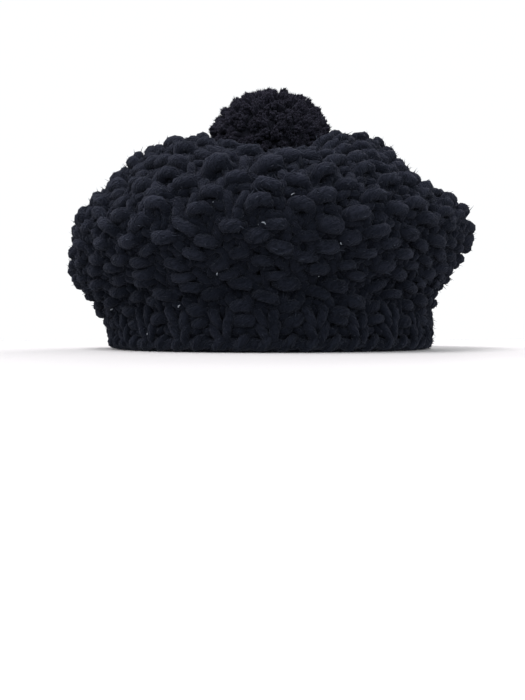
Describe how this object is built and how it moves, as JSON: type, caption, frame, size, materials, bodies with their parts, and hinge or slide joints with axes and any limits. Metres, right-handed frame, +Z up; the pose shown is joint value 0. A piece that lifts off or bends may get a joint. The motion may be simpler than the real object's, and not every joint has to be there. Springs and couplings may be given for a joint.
{
  "type": "knit beret with pompom",
  "caption": "Slouchy chunky-knit beret with a moss-stitch crown, a ribbed band round an open head hollow, and a yarn pompom tied in the dimple of the crown.",
  "frame": {"origin": "centre of the hat's box on the plane that its rim rests on, where the axis of the head hollow crosses it", "axes": "+Z up through the crown to the pompom, -Y the front that the picture shows, +X the picture's right"},
  "size_m": [0.25, 0.2457, 0.1662],
  "materials": {
    "band_yarn": "matt black wool-blend yarn, ribbed",
    "crown_yarn": "matt black wool-blend yarn in moss stitch",
    "pompom_yarn": "cut ends of matt black yarn",
    "tie_yarn": "matt black yarn"
  },
  "bodies": {
    "root": {"band": "band_yarn", "crown": "crown_yarn", "pompom": "pompom_yarn", "pompom_tie": "tie_yarn"}
  },
  "joints": []
}
